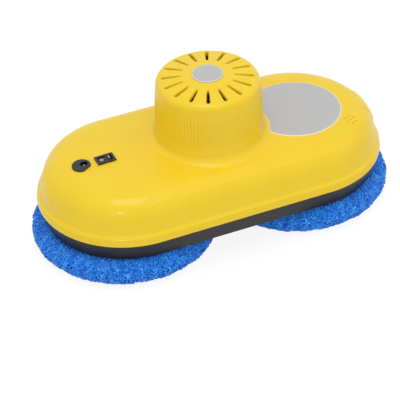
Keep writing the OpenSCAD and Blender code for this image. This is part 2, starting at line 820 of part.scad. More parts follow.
module motor_bracket() {
    color([0.25, 0.25, 0.27]) translate([0, 0, housing_top]) difference() {
        union() {
            cylinder(r = motor_can_r + bracket_ring, h = bracket_t);
            for (i = [0 : arm_count - 1]) rotate(360 * i / arm_count + 90)
                translate([0, -arm_w / 2, 0]) cube([housing_r, arm_w, bracket_t]);
        }
        translate([0, 0, -over]) cylinder(r = motor_can_r, h = bracket_t + 2 * over);
    }
}

// Control board with its parts
board_z = floor_z + board_gap;
module control_board() {
    color("seagreen") translate([-board_len / 2, board_y - board_w / 2, board_z])
        cube([board_len, board_w, board_t]);
}

part_h = 3;
chip = 9;
// Places on the board as shares of a chip: chips, coils and cans along it, rows across it
chip_x_shares = [-3.9, -1.3, 1.3];
coil_x_shares = [-3.6, -1.8, 1.8, 3.6];
can_x_shares = [2.6, 3.4, 4.2];
coil_row_share = -0.7;
can_row_share = 0.4;
module board_parts() {
    color([0.15, 0.15, 0.16]) translate([0, board_y, board_z + board_t]) {
        for (x = chip_x_shares) translate([x * chip, 0, part_h / 4]) cube([chip, chip,
            part_h / 2], center = true);
        for (x = coil_x_shares) translate([x * chip, coil_row_share * chip, part_h / 2])
            cube([chip, part_h, part_h], center = true);
        for (x = can_x_shares) translate([x * chip, can_row_share * chip, 0])
            cylinder(r = part_h, h = chip, $fn = 32);
    }
}

lens_r = 2.4;
module ir_receiver() {
    color([0.05, 0.05, 0.06]) translate([-board_len / 2 + chip - lens_r, board_y, board_z + board_t]) {
        translate([-part_h, -part_h, 0]) cube([part_h, 2 * part_h, 2 * part_h]);
        translate([0, 0, part_h]) intersection() {
            sphere(r = lens_r, $fn = 32);
            translate([0, -part_h, -part_h]) cube([part_h, 2 * part_h, 2 * part_h]);
        }
    }
}

sensor_x = -23.4;
sensor_len = 6;
sensor_w = 4.8;
sensor_h = 2.4;
nozzle_r = 0.75;
nozzle_h = 6;
module pressure_sensor() {
    color("white") translate([sensor_x, board_y, board_z + board_t]) {
        translate([-sensor_len / 2, -sensor_w, 0]) cube([sensor_len, sensor_w, sensor_h]);
        translate([0, -sensor_w / 2, 0]) cylinder(r = nozzle_r, h = nozzle_h, $fn = 24);
    }
}

// Reserve battery: four cells in an open cradle
module battery_holder() {
    wide = 2 * (cell_r + cell_gap + holder_t);
    color([0.2, 0.2, 0.22]) translate([0, battery_y, floor_z]) difference() {
        translate([-cell_len - cell_gap - holder_t, -wide / 2, 0])
            cube([2 * (cell_len + cell_gap + holder_t), wide, 3 * cell_r]);
        for (side = [-1, 1]) translate([side > 0 ? holder_t / 2 : -cell_len - cell_gap
            - holder_t / 2, -cell_r - cell_gap, holder_t])
            cube([cell_len + cell_gap, 2 * (cell_r + cell_gap), 3 * cell_r]);
    }
}

module battery_cells() {
    color("steelblue") for (side = [-1, 1]) for (row = [0, 1])
        translate([side > 0 ? holder_t / 2 + cell_gap / 2 : -cell_len - holder_t / 2
            - cell_gap / 2, battery_y, floor_z + holder_t + cell_r + row * (2 * cell_r + cell_gap)])
            rotate([0, 90, 0]) cylinder(r = cell_r, h = cell_len, $fn = 48);
}

module beeper() {
    color([0.1, 0.1, 0.11]) translate([beeper_x, beeper_y, beeper_top_z - beeper_h])
        difference() {
            cylinder(r = beeper_r, h = beeper_h, $fn = 48);
            translate([0, 0, beeper_h - over]) cylinder(r = hole_r, h = 2 * over, $fn = 16);
        }
}

// Left and right copies of the drive's pieces
module left_gear_cover() { color("dimgray") gear_cover(-1); }
module right_gear_cover() { color("dimgray") gear_cover(1); }
module left_lower_bush() { color("peru") bush(-1, bush_z, false); }
module right_lower_bush() { color("peru") bush(1, bush_z, false); }
module left_upper_bush() { color("peru") bush(-1, plate_z, true); }
module right_upper_bush() { color("peru") bush(1, plate_z, true); }
module left_gear_motor() { color("gray") gear_motor(-1); }
module right_gear_motor() { color("gray") gear_motor(1); }
module left_pinion() { color("goldenrod") pinion(-1); }
module right_pinion() { color("goldenrod") pinion(1); }
module left_gear() { color("ivory") wheel_gear(-1); }
module right_gear() { color("ivory") wheel_gear(1); }
module left_shaft() { color("silver") wheel_shaft(-1); }
module right_shaft() { color("silver") wheel_shaft(1); }
module left_disc() { color([0.15, 0.15, 0.16]) wheel_disc(-1); }
module right_disc() { color([0.15, 0.15, 0.16]) wheel_disc(1); }
module left_pad_ring() { color([0.2, 0.2, 0.22]) pad_ring(-1); }
module right_pad_ring() { color([0.2, 0.2, 0.22]) pad_ring(1); }
module left_pad() { color("royalblue") pad(-1); }
module right_pad() { color("royalblue") pad(1); }
module left_disc_screw() { color("silver") disc_screw(-1); }
module right_disc_screw() { color("silver") disc_screw(1); }
module left_seal() { color("dimgray") seal(-1); }
module right_seal() { color("dimgray") seal(1); }

top_cover();
dome_cap();
dome_disc();
label_plate();
dc_socket();
socket_pin();
socket_nut();
switch_frame();
switch_rocker();
base_plate();
cover_screws();
left_gear_cover();
right_gear_cover();
gear_cover_screws();
left_lower_bush();
right_lower_bush();
left_upper_bush();
right_upper_bush();
left_gear_motor();
right_gear_motor();
left_pinion();
right_pinion();
left_gear();
right_gear();
left_shaft();
right_shaft();
left_disc();
right_disc();
left_pad_ring();
right_pad_ring();
left_pad();
right_pad();
left_disc_screw();
right_disc_screw();
left_seal();
right_seal();
air_duct();
fan_housing();
motor_bracket();
fan_motor();
fan_shaft();
impeller();
control_board();
board_parts();
ir_receiver();
pressure_sensor();
battery_holder();
battery_cells();
beeper();
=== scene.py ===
# %% [markdown]
# # A window cleaning robot
# The robot stands on two spinning pads. A yellow moulded cover sits on a black base, with a
# ribbed dome over the fan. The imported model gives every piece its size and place. This
# lesson dresses it: smooth mouldings in place of faceted ones, looped pile on the pads, and
# finishes for plastic, metal and cloth. Lengths are in millimetres, and MM turns them into
# the metres that Blender takes. Only the floor and the lamps are written in metres.

# %% Load the frame
import json
import math
import bpy
import numpy as np
from mathutils import Matrix, Vector


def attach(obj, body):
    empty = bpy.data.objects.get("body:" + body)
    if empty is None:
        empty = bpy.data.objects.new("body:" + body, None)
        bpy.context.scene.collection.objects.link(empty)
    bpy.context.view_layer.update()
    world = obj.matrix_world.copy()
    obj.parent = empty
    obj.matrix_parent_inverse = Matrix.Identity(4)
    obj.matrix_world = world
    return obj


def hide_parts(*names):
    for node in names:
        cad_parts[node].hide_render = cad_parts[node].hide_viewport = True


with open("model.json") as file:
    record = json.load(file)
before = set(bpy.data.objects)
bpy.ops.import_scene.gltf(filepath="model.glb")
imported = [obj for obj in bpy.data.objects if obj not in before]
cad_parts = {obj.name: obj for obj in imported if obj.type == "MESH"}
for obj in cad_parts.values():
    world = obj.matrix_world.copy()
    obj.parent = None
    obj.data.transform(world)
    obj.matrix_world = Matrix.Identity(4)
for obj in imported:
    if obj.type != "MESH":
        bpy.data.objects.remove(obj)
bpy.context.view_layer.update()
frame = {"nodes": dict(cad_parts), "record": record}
MM = 0.001

# %% [markdown]
# ## The camera
# The photograph was taken from the front left and above, from about a metre and a half away,
# with the camera turned a little about its own line of sight. A camera could be aimed by a
# constraint, but three angles and a distance say the same thing in one place. The lens
# follows from how large the robot is in the picture.

# %% Place the camera
SENSOR = 36.0
TURN, TILT, ROLL = -21.94, 37.66, -2.295
DISTANCE, LENS = 1500.0, 162.02
AIM = np.array([-10.67, 0.0, 9.38])


def camera_at(turn, tilt, roll, distance, aim, lens):
    """A camera at a distance from a point, turned about Z, tilted down and rolled."""
    a, e = math.radians(turn), math.radians(tilt)
    back = np.array([math.sin(a) * math.cos(e), -math.cos(a) * math.cos(e), math.sin(e)])
    data = bpy.data.cameras.new("photo_view")
    data.lens, data.sensor_width, data.clip_start, data.clip_end = lens, SENSOR, 0.05, 50.0
    camera = bpy.data.objects.new("photo_view", data)
    bpy.context.scene.collection.objects.link(camera)
    camera.location = (aim + back * distance) * MM
    camera.rotation_euler = (math.radians(90 - tilt), 0.0, a)
    bpy.context.view_layer.update()
    turned = camera.matrix_world @ Matrix.Rotation(math.radians(roll), 4, "Z")
    camera.matrix_world = turned
    return camera


bpy.context.scene.camera = camera_at(TURN, TILT, ROLL, DISTANCE, AIM, LENS)
print("camera at", [round(v, 4) for v in bpy.context.scene.camera.location])

# %% [markdown]
# ## Writing finishes as sums
# A finish is a tree of shader nodes. Wiring them one by one hides the idea, so a small class
# wraps a socket and lets Python's own signs add the Math nodes. Every other node comes from
# one method, which sets the node's choices first and its inputs after that.

# %% A small language for finishes


class Term:
    """A socket of one finish. Sums and products of terms add Math nodes."""

    def __init__(self, finish, socket):
        self.finish, self.socket = finish, socket

    def _math(self, operation, first, second):
        return self.finish.add("ShaderNodeMath", {"operation": operation}, {0: first, 1: second})

    def __add__(self, other):
        return self._math("ADD", self, other)

    def __sub__(self, other):
        return self._math("SUBTRACT", self, other)

    def __rsub__(self, other):
        return self._math("SUBTRACT", other, self)

    def __mul__(self, other):
        return self._math("MULTIPLY", self, other)

    __radd__, __rmul__ = __add__, __mul__

    def above(self, other):
        return self._math("GREATER_THAN", self, other)

    def size(self):
        return self._math("ABSOLUTE", self, 0.0)

    def root(self):
        return self._math("SQRT", self, 0.0)


class Finish:
    """A material with one Principled shader. Fixed inputs go in by name, with an underscore
    for each space."""

    def __init__(self, name, color, roughness, **fixed):
        self.material = bpy.data.materials.new(name)
        self.material.use_nodes = True
        self.tree = self.material.node_tree
        self.shader = self.tree.nodes["Principled BSDF"]
        self.set("Base Color", color)
        self.set("Roughness", roughness)
        for socket, value in fixed.items():
            self.set(socket.replace("_", " "), value)

    def add(self, kind, choices=None, inputs=None, output=0):
        """Adds a node: its choices are set first, then its inputs by name or number."""
        node = self.tree.nodes.new(kind)
        for key, value in (choices or {}).items():
            if key == "stops":
                ramp = node.color_ramp
                for i, (place, shade) in enumerate(value):
                    stop = ramp.elements[i] if i < 2 else ramp.elements.new(place)
                    stop.position, stop.color = place, (*shade, 1.0)
            else:
                setattr(node, key, value)
        for key, value in (inputs or {}).items():
            self.feed(node.inputs[key], value)
        return Term(self, node.outputs[output])

    def feed(self, socket, value):
        """Links a term to a socket, or writes a number or a colour on it."""
        if isinstance(value, Term):
            self.tree.links.new(value.socket, socket)
        elif isinstance(value, (tuple, list)) and len(value) == 3 and socket.type == "RGBA":
            socket.default_value = (*value, 1.0)
        else:
            socket.default_value = value

    def set(self, socket, value):
        self.feed(self.shader.inputs[socket], value)

    def place(self, scale=(1.0, 1.0, 1.0)):
        """Object coordinates, stretched along each axis."""
        where = self.add("ShaderNodeTexCoord", output=3)
        return self.add("ShaderNodeMapping", {}, {"Vector": where, "Scale": scale})

    def noise(self, size, detail=2.0, vector=None, output=0):
        """Cloudy noise whose patches are about this many millimetres wide."""
        return self.add("ShaderNodeTexNoise", {}, {"Vector": vector or self.place(),
            "Scale": 1.0 / (size * MM), "Detail": detail}, output)

    def blend(self, share, first, second):
        """A colour between two colours."""
        return self.add("ShaderNodeMix", {"data_type": "RGBA"}, {0: share, 6: first, 7: second}, 2)

    def relief(self, height, depth):
        """Bumps the surface by a height, where 1 stands this many millimetres proud."""
        self.set("Normal", self.add("ShaderNodeBump", {}, {"Strength": 1.0,
            "Distance": depth * MM, "Height": height}))

    def axes(self):
        """The three Object coordinates as terms, in metres."""
        apart = self.add("ShaderNodeSeparateXYZ", {}, {0: self.place()})
        return [Term(self, apart.socket.node.outputs[i]) for i in range(3)]

    def attribute(self, name):
        """A value that the mesh carries on its points."""
        return self.add("ShaderNodeAttribute", {"attribute_name": name}, {}, 2)


def linear(red, green, blue):
    """An sRGB colour from 0 to 255 as the linear colour that a shader takes."""
    c = np.array([red, green, blue]) / 255.0
    return tuple(float(v) for v in np.where(c <= 0.04045, c / 12.92, ((c + 0.055) / 1.055) ** 2.4))


YELLOW = linear(239, 204, 40)
print("yellow in linear values:", [round(v, 3) for v in YELLOW])

# %% [markdown]
# ## The yellow moulding
# The cover and the dome are gloss plastic. Up close such a moulding isn't perfectly flat: it
# has a very fine ripple that softens a lamp's reflection. A thin clear coat over a slightly
# rough base gives a broad sheen with a narrower bright line in it, along the shoulder.

# %% Yellow plastic


def yellow_finish():
    """Yellow with a slow cloud in its colour and a fine ripple in its relief."""
    f = Finish("yellow_gloss_plastic", YELLOW, 0.36, Coat_Weight=0.2,
        Coat_Roughness=0.06, Specular_IOR_Level=0.22, IOR=1.46)
    cloud = f.noise(24.0, 3.0)
    f.set("Base Color", f.blend(cloud, linear(237, 201, 38), linear(243, 209, 45)))
    f.set("Roughness", 0.30 + 0.10 * f.noise(5.0))
    f.relief(f.noise(1.6, 2.0), 0.012)
    return f.material


yellow = yellow_finish()

# %% [markdown]
# ## Surfaces from grids
# Most of the robot's outside is one of two shapes: a profile turned about the dome's axis,
# or a profile carried once round an oblong. Both are grids of points with columns that
# close on themselves. One helper turns such a grid into a mesh, and closes its first and
# last row with a pole where they shrink to a point.

# %% Grid to mesh


def grid_mesh(name, points, tip_first=False, tip_last=False, ring=False, smooth=45.0):
    """A band of quads from rows x columns x 3 points in mm, closed round its columns. A tip
    closes an end row with a fan to its middle, and ring joins the last row to the first."""
    rows, cols = points.shape[:2]
    verts = points.reshape(-1, 3)
    r = np.arange(rows if ring else rows - 1)[:, None]
    c = np.arange(cols)[None, :]
    a, b = r * cols + c, r * cols + (c + 1) % cols
    down = ((r + 1) % rows) * cols
    faces = np.stack([a, b, down + (c + 1) % cols, down + c], -1).reshape(-1, 4).tolist()
    tips = []
    for wanted, row, flip in ((tip_first, 0, True), (tip_last, rows - 1, False)):
        if wanted:
            tip = len(verts)
            verts = np.vstack([verts, points[row].mean(0)])
            line = row * cols + np.arange(cols)
            nxt = row * cols + (np.arange(cols) + 1) % cols
            fan = [nxt, line] if flip else [line, nxt]
            tips += np.stack([*fan, np.full(cols, tip)], -1).tolist()
    mesh = bpy.data.meshes.new(name)
    mesh.from_pydata((verts * MM).tolist(), [], faces + tips)
    return finished(name, mesh, smooth)


def finished(name, mesh, smooth=45.0):
    """A shaded object of a mesh, with edges sharper than an angle kept sharp."""
    mesh.validate()
    mesh.polygons.foreach_set("use_smooth", np.ones(len(mesh.polygons), bool))
    mesh.set_sharp_from_angle(angle=math.radians(smooth))
    piece = bpy.data.objects.new(name, mesh)
    bpy.context.scene.collection.objects.link(piece)
    return piece


def points_of(mesh):
    """The mesh's points in mm, one row each."""
    flat = np.empty(len(mesh.vertices) * 3)
    mesh.vertices.foreach_get("co", flat)
    return flat.reshape(-1, 3) / MM


def volume_of(piece):
    """Signed volume in cubic mm: it is above zero where the faces point outwards."""
    mesh = piece.data
    mesh.calc_loop_triangles()
    tri = np.empty(len(mesh.loop_triangles) * 3, np.int32)
    mesh.loop_triangles.foreach_get("vertices", tri)
    p = points_of(mesh)[tri.reshape(-1, 3)]
    return float(np.einsum("ij,ij->i", p[:, 0], np.cross(p[:, 1], p[:, 2])).sum() / 6)


def turned_out(piece):
    """Flips a piece whose faces point inwards."""
    if volume_of(piece) < 0:
        piece.data.flip_normals()
    print(piece.name, "triangles:", sum(len(p.vertices) - 2 for p in piece.data.polygons),
        "volume in cm3: %.1f" % (volume_of(piece) / 1000))
    return piece


def rounded_line(corners, steps=6):
    """A polyline whose inner corners are eased by quadratic bends. Each corner is
    (distance, height, radius of the easing)."""
    out = [np.array(corners[0][:2])]
    for before, here, after in zip(corners[:-2], corners[1:-1], corners[2:]):
        p, q, s = (np.array(v[:2]) for v in (before, here, after))
        reach = here[2]
        a = q + (p - q) * min(1.0, reach / np.linalg.norm(p - q))
        b = q + (s - q) * min(1.0, reach / np.linalg.norm(s - q))
        t = np.linspace(0, 1, steps)[:, None]
        out += list((1 - t) ** 2 * a + 2 * t * (1 - t) * q + t * t * b) if reach else [q]
    return np.array(out + [np.array(corners[-1][:2])])


def spaced(line, step):
    """The same line with points no further apart than a step, its corners kept."""
    out = [line[0]]
    for p, q in zip(line[:-1], line[1:]):
        n = max(1, math.ceil(np.linalg.norm(q - p) / step))
        out += [p + (q - p) * k / n for k in range(1, n + 1)]
    return np.array(out)


# %% [markdown]
# ## The cover's shape
# Seen from above the cover is an oblong: two half circles joined by straight sides. Every
# point of its skin depends only on how far it is from the spine, the line between the two
# centres. The top is part of a very large circle, the shoulder is one quadratic bend, and
# below it come a leaning wall, a soft step and the skirt.

# %% The skin's profile
SPINE, WALL = 73.5, 2.4
CROWN_Z, CROWN_REACH, CROWN_R = 78.0, 46.768, 684.3
SHOULDER = np.array([[46.768, 76.4], [64.115, 75.212], [68.2, 58.7]])
SHOULDER_STEPS = 1501
# (distance from the spine, height, easing): wall, step, skirt and the turn under its edge
LOWER_WALL = [(68.2, 58.7, 0), (70.65, 48.8, 1.0), (72.9, 46.7, 0.8), (74.0, 40.5, 0.5),
    (73.4, 40.3, 0.3), (71.6, 40.5, 0)]
# The inside, upwards from the skirt to the roof
SPREAD = 57.0
INNER_WALL = np.array([[71.2, 45.0], [68.2, 49.2], [65.8, 58.7], [64.9, 62.2], [62.4, 66.2],
    [59.6, 69.0], [SPREAD, 70.2]])


def bend(corners, t):
    """Quadratic bend: it leaves the first corner towards the second and ends at the third."""
    t = np.asarray(t)[..., None]
    return (1 - t) ** 2 * corners[0] + 2 * t * (1 - t) * corners[1] + t * t * corners[2]


curve = bend(SHOULDER, np.linspace(0, 1, SHOULDER_STEPS))


def skin_height(d):
    """Height of the skin at a distance from the spine: circle first, then the bend."""
    top = CROWN_Z - CROWN_R + np.sqrt(CROWN_R**2 - np.minimum(d, CROWN_REACH) ** 2)
    return np.where(d <= CROWN_REACH, top, np.interp(d, curve[:, 0], curve[:, 1]))


def from_spine(x, y):
    """Distance from the line between the two centres."""
    return np.hypot(np.maximum(np.abs(x) - SPINE, 0), y)


print("skin heights at 0, 30, 60 mm:", np.round(skin_height(np.array([0, 30, 60.0])), 2))

# %% [markdown]
# The cover is one closed grid. Its first rows run down the flare at the dome's foot, which
# starts as a circle and ends on the crown. The next rows spread from that circle to an
# oblong, and the last ones follow the profile over the shoulder, down the wall, round the
# skirt's edge and back up inside.

# %% Build the cover
COLS = 400
SEAM_R, SEAM_Z = 44.5, 84.0
FLARE_R, FLARE_Z = 51.5, 76.9
FLARE = np.array([[SEAM_R, SEAM_Z], [SEAM_R + 0.55, 77.6], [FLARE_R, FLARE_Z]])
FLARE_LEVEL = 0.35


def round_oblong(count, reach):
    """Even steps round the oblong that lies a reach from the spine: for each, the centre
    on the spine and the direction outwards."""
    arc, side = math.pi * reach, 2 * SPINE
    s = np.arange(count) / count * (2 * arc + 2 * side)
    s = (s + arc / 2) % (2 * arc + 2 * side)
    turn = np.select([s < arc, s < arc + side, s < 2 * arc + side],
        [s / reach - math.pi / 2, math.pi / 2, (s - arc - side) / reach + math.pi / 2],
        -math.pi / 2)
    centre = np.select([s < arc, s < arc + side, s < 2 * arc + side],
        [SPINE, SPINE - (s - arc), -SPINE], -SPINE + (s - 2 * arc - side))
    return centre, np.cos(turn), np.sin(turn)


def cover_grid():
    """Every point is its column's centre on the spine, plus its distance from the spine
    along the column's outward direction, at the height that the profile has there. Near the
    dome the columns are rays from the dome's axis instead, and each one runs straight from
    its place on the flare's circle to its place on the oblong."""
    centre, nx, ny = round_oblong(COLS, SPREAD)
    around = np.arange(COLS) / COLS * 2 * math.pi

    def flare_rows(inset, steps):
        """From the dome's wall down to the skin, in circles whose lower ones take on the
        crown's height at their own angle."""
        t = np.linspace(0, 1, steps)
        low = skin_height(np.abs(FLARE_R * np.sin(around)))
        line = bend(FLARE, t)
        radius = line[:, 0] - inset
        share = np.clip((t - FLARE_LEVEL) / (1 - FLARE_LEVEL), 0, 1)[:, None] ** 2
        height = line[:, 1:] + share * (low - FLARE_Z)[None, :] - inset * t[:, None]
        return np.stack([radius[:, None] * np.cos(around), radius[:, None] * np.sin(around),
            height], -1)

    def top_rows(inset, steps):
        """From the flare's circle to the oblong, each column along a straight line."""
        t = np.linspace(0, 1, steps)[1:, None]
        x = (1 - t) * FLARE_R * np.cos(around) + t * (centre + SPREAD * nx)
        y = (1 - t) * FLARE_R * np.sin(around) + t * SPREAD * ny
        return np.stack([x, y, skin_height(from_spine(x, y)) - inset], -1)

    start = float(np.interp(SPREAD, curve[:, 0], np.linspace(0, 1, SHOULDER_STEPS)))
    over = bend(SHOULDER, np.linspace(start, 1, 20))[1:]
    lower = spaced(rounded_line(LOWER_WALL, 7)[1:], 1.3)
    rows = np.vstack([over, lower, spaced(INNER_WALL, 4.0)])
    band = np.stack([centre + rows[:, :1] * nx, rows[:, :1] * ny,
        np.broadcast_to(rows[:, 1:], (len(rows), COLS))], -1)
    inner_top = np.flip(top_rows(WALL, 9), 0)
    inner_flare = np.flip(flare_rows(WALL, 6), 0)
    return np.concatenate([flare_rows(0, 14), top_rows(0, 34), band, inner_top[1:],
        inner_flare])


cover_points = cover_grid()
print("cover grid:", cover_points.shape)

# %% [markdown]
# Each end of the cover has a shallow raised pad for the fingers. It is added as a push
# outwards that rises softly at the pad's edges, so the outline shows two faint kinks there.

# %% Raise the finger pads
GRIP_RISE, GRIP_EDGE = 1.2, 2.8
GRIP_LOW_Z, GRIP_HIGH_Z, GRIP_EDGE_Z = 52.0, 73.0, 3.0
RIGHT_GRIP, LEFT_GRIP, LEFT_SLANT, LEFT_SLANT_Z = (-18.0, 7.0), (-1.0, 23.0), 1.17, 66.0


def soft_window(v, low, high, edge):
    """1 between low and high, easing to 0 over an edge outside them."""
    rise = np.clip((v - low + edge) / edge, 0, 1)
    fall = np.clip((high + edge - v) / edge, 0, 1)
    return rise * rise * (3 - 2 * rise) * fall * fall * (3 - 2 * fall)


def with_finger_pads(points):
    """Pushes the skin straight out from the spine inside a window of y and z on each end.
    The window's near edge on the socket's end slants with the height."""
    x, y, z = np.moveaxis(points, -1, 0)
    low = np.where(x > 0, RIGHT_GRIP[0], LEFT_GRIP[0] + LEFT_SLANT * (z - LEFT_SLANT_Z))
    high = np.where(x > 0, RIGHT_GRIP[1], LEFT_GRIP[1])
    d = np.maximum(from_spine(x, y), 1e-6)
    out = np.stack([np.sign(x) * np.maximum(np.abs(x) - SPINE, 0) / d, y / d], -1)
    on_end = (np.abs(x) > SPINE) & (d > 50)
    push = GRIP_RISE * on_end * soft_window(y, low, high, GRIP_EDGE)
    push = push * soft_window(z, GRIP_LOW_Z, GRIP_HIGH_Z, GRIP_EDGE_Z)
    points = points.copy()
    points[..., :2] += out * push[..., None]
    return points


cover = grid_mesh("cover_shell", with_finger_pads(cover_points), ring=True)
turned_out(cover)

# %% [markdown]
# ## Openings
# The holes of the socket, the switch and the beeper are cut with a Boolean, as a drill
# would. The cutters are plain upright prisms. They are joined into one mesh, so the cover
# is cut once, and the cutter is removed after that.

# %% Cut the cover


def prism(outline, low, high):
    """Vertices and faces of a prism over an outline of x, y points in mm."""
    n = len(outline)
    verts = [(*p, z) for z in (low, high) for p in outline]
    sides = [(i, (i + 1) % n, n + (i + 1) % n, n + i) for i in range(n)]
    return np.array(verts, float), sides + [tuple(range(n))[::-1], tuple(range(n, 2 * n))]


def circle(x, y, r, count):
    """Even points round a circle."""
    a = np.arange(count) / count * 2 * math.pi
    return np.stack([x + r * np.cos(a), y + r * np.sin(a)], -1)


def cut(piece, prisms):
    """Cuts closed forms out of a piece, and leaves the result as its mesh."""
    verts, faces = [], []
    for v, f in prisms:
        faces += [tuple(i + len(verts) for i in face) for face in f]
        verts += v.tolist()
    mesh = bpy.data.meshes.new("cutter")
    mesh.from_pydata((np.array(verts) * MM).tolist(), [], faces)
    cutter = bpy.data.objects.new("cutter", mesh)
    bpy.context.scene.collection.objects.link(cutter)
    step = piece.modifiers.new("cut", "BOOLEAN")
    step.operation, step.object, step.solver = "DIFFERENCE", cutter, "MANIFOLD"
    made = bpy.data.meshes.new_from_object(piece.evaluated_get(
        bpy.context.evaluated_depsgraph_get()))
    piece.modifiers.clear()
    piece.data = made
    bpy.data.objects.remove(cutter)
    made.set_sharp_from_angle(angle=math.radians(45))
    print(piece.name, "faces after the cut:", len(made.polygons))
    return piece


LABEL_X, LABEL_Y, LABEL_R, LABEL_CUT = 75.2, -2.0, 38.8, 49.2
LABEL_COLS = 160


def label_outline(grow):
    """The label: a circle, cut away by a circle about the dome's axis. Along each direction
    from its middle it reaches to whichever of the two circles comes first."""
    a = np.arange(LABEL_COLS) / LABEL_COLS * 2 * math.pi
    dx, dy = np.cos(a), np.sin(a)
    along = LABEL_X * dx + LABEL_Y * dy
    cut_r = LABEL_CUT - grow
    inside = along**2 - (LABEL_X**2 + LABEL_Y**2 - cut_r**2)
    hit = np.where((inside > 0) & (along < 0), -along - np.sqrt(np.maximum(inside, 0)), 1e3)
    r = np.minimum(LABEL_R + grow, hit)
    return np.stack([LABEL_X + r * dx, LABEL_Y + r * dy], -1)


SOCKET, SWITCH, BEEPER = (-111.0, 0.0), (-91.0, -1.0), (111.0, -34.2)
SOCKET_HOLE_R, BEEPER_HOLE_R, BEEPER_RING_R = 6.5, 0.65, 4.2
SWITCH_HALF = np.array([6.85, 4.35])
HOLE_LOW, HOLE_HIGH = 55, 90
SQUARE = np.array([(-1, -1), (1, -1), (1, 1), (-1, 1)])
outlines = [circle(*SOCKET, SOCKET_HOLE_R, 40), SWITCH + SQUARE * SWITCH_HALF]
for x, y in [BEEPER, *circle(*BEEPER, BEEPER_RING_R, 12)[1::2].tolist()]:
    outlines.append(circle(x, y, BEEPER_HOLE_R, 14))
holes = [prism(outline, HOLE_LOW, HOLE_HIGH) for outline in outlines]
cut(cover, holes)
cover.data.materials.clear()
cover.data.materials.append(yellow)
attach(cover, "housing")
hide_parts("top_cover")

# %% [markdown]
# ## The dome
# The dome is a turned profile: a flat middle for the disc, a shallow cone, a rounded edge
# and a wall that leans in a little. Fine ribs stand on the wall. They are a wave in the
# wall's radius, which fades out at the rounded edge above and at the flare below.

# %% Turn the dome
DOME_COLS, RIBS, SLOTS = 576, 96, 16
RIB_HEIGHT, RIB_POWER = 0.5, 1.5
RIB_LOW, RIB_HIGH, RIB_FADE = 97.0, 113.0, 10.0
dome_outside = spaced(rounded_line([(2.0, 132.2, 0), (14.0, 132.2, 5.0), (41.75, 128.9, 5.2),
    (43.4, 90.0, 4.0), (SEAM_R, SEAM_Z, 0)], 14), 1.1)
dome_inside = spaced(np.array([[42.2, SEAM_Z], [41.2, 90.0], [39.2, 121.5], [35.6, 126.6],
    [14.0, 129.7], [2.0, 129.7]]), 5.0)


def dome_grid():
    """The profile turned about Z. On the outside, a cosine with one crest for each rib adds
    to the radius, inside a window of heights."""
    line = np.vstack([dome_outside, dome_inside])
    a = np.arange(DOME_COLS) / DOME_COLS * 2 * math.pi
    outer = (np.arange(len(line)) < len(dome_outside))[:, None]
    fade = soft_window(line[:, 1:], RIB_LOW, RIB_HIGH, RIB_FADE) * outer
    wave = np.maximum(0.5 + 0.5 * np.cos(RIBS * a)[None, :], 0)
    radius = line[:, :1] + RIB_HEIGHT * fade * wave**RIB_POWER
    return np.stack([radius * np.cos(a), radius * np.sin(a),
        np.broadcast_to(line[:, 1:], radius.shape)], -1)


dome = turned_out(grid_mesh("dome_shell", dome_grid(), tip_first=True, tip_last=True))

# %% [markdown]
# Sixteen slots let the air out. Each widens outwards and has round ends. Its cutter is a
# tapered prism too, a little wider at the skin, which leaves a fine bevel on the slot's lip.

# %% Cut the slots
# (tip's distance from the axis, half width there, side of the tip)
SLOT_ENDS = [(21.6, 0.75, -1), (37.0, 1.35, 1)]
# (widening, height above the skin), upwards: the foot has a height of its own. No point of
# the cutter lies on the skin or in line with the skin's columns, which a Boolean dislikes.
SLOT_RINGS = [(0.0, None), (0.013, -0.83), (0.42, 0.057), (0.52, 3.1)]
SLOT_FOOT, SLOT_TURN = 118.0, 1e-4
TOP_POINTS = 40


def slot_cutter(turn):
    """Outline of a tapered slot with round ends, as rings that widen at the skin."""
    t = np.radians(np.arange(0, 181, 22.5))
    rings = []
    for grow, above in SLOT_RINGS:
        out = []
        for r, half, side in SLOT_ENDS:
            centre, h = r - side * half, half + grow
            out.append(np.stack([centre + side * h * np.sin(t), -side * h * np.cos(t)], -1))
        ring_xy = np.vstack(out[::-1])
        skin = np.interp(ring_xy[:, 0], *dome_outside[:TOP_POINTS].T)
        z = np.full(len(ring_xy), SLOT_FOOT) if above is None else skin + above
        rings.append(np.column_stack([ring_xy, z]))
    c, s = math.cos(turn), math.sin(turn)
    verts = np.vstack(rings) @ np.array([[c, s, 0], [-s, c, 0], [0, 0, 1]])
    n = len(rings[0])
    faces = [(k * n + i, k * n + (i + 1) % n, (k + 1) * n + (i + 1) % n, (k + 1) * n + i)
        for k in range(len(rings) - 1) for i in range(n)]
    return verts, faces + [tuple(range(n))[::-1], tuple(range(3 * n, 4 * n))]


cut(dome, [slot_cutter(2 * math.pi * i / SLOTS + SLOT_TURN) for i in range(SLOTS)])
dome.data.materials.clear()
dome.data.materials.append(yellow)
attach(dome, "housing")
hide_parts("dome_cap")

# %% [markdown]
# ## Pads of looped pile
# Each pad is a bonnet of microfibre pile on a ring. The pile is what shows: thousands of
# short soft curls, each a little over a millimetre thick. A bump map would leave the pad's
# edge smooth, so the curls are real. First comes a swollen core, then curls are scattered on
# it. Every curl is a bent tube with few faces, worked out for all of them at once.

# %% The pads' core
WHEEL_X, PAD_H = 77.4, 23.0
PAD_HOLE_R, PAD_BULGE_FROM, PAD_BULGE = 44.0, 60.1, 15.7
PAD_HEM = [[59.0, 21.8], [59.0, 18.1], [66.2, 18.1], [66.2, 6.9], [PAD_HOLE_R, 6.9]]
SIDE_ROWS = 25
CORE_INSET, CORE_FROM, CORE_LOW, CORE_HIGH = 2.1, 60, 1.2, PAD_H - 1.6
CORE_TONE = 0.5


